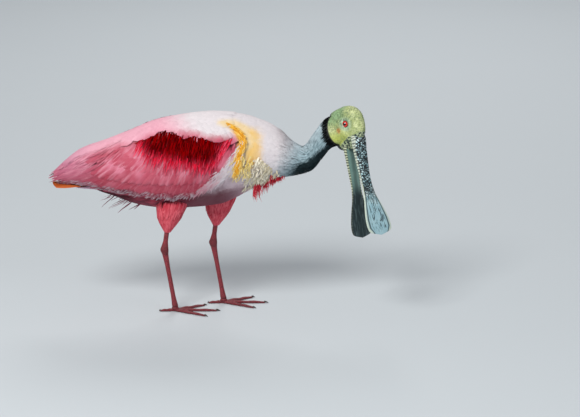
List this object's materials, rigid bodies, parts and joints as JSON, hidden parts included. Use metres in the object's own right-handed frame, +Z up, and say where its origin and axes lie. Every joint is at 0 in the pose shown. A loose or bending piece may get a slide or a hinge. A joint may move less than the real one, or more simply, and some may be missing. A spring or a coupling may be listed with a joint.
{
  "type": "roseate spoonbill figure",
  "caption": "Life-size still model of a pink wading bird with a spoon-shaped bill, wading with its head turned and its bill held down and slightly open.",
  "frame": {"origin": "middle of the bottom of the whole part's bounding box, level with the soles", "axes": "+X the way the bird's body faces, +Y to the bird's left, +Z up"},
  "size_m": [0.5944, 0.1982, 0.3731],
  "materials": {
    "white_plumage": "soft white body feathers",
    "rose_plumage": "rose-pink feathers",
    "tail_plumage": "orange tail feathers",
    "head_skin": "bare yellow-green skin",
    "bill_horn": "dull horn",
    "eye": "wet and glossy",
    "leg_skin": "scaled bare skin"
  },
  "bodies": {
    "root": {"torso": "white_plumage", "neck_lower": "white_plumage", "neck_upper": "white_plumage", "wing_right": "rose_plumage", "wing_left": "rose_plumage", "tail": "tail_plumage", "thigh_right": "rose_plumage", "thigh_left": "rose_plumage", "shank_right": "leg_skin", "shank_left": "leg_skin", "foot_right": "leg_skin", "foot_left": "leg_skin", "head": "head_skin", "bill_upper": "bill_horn", "bill_lower": "bill_horn", "eye_right": "eye", "eye_left": "eye"}
  },
  "joints": []
}
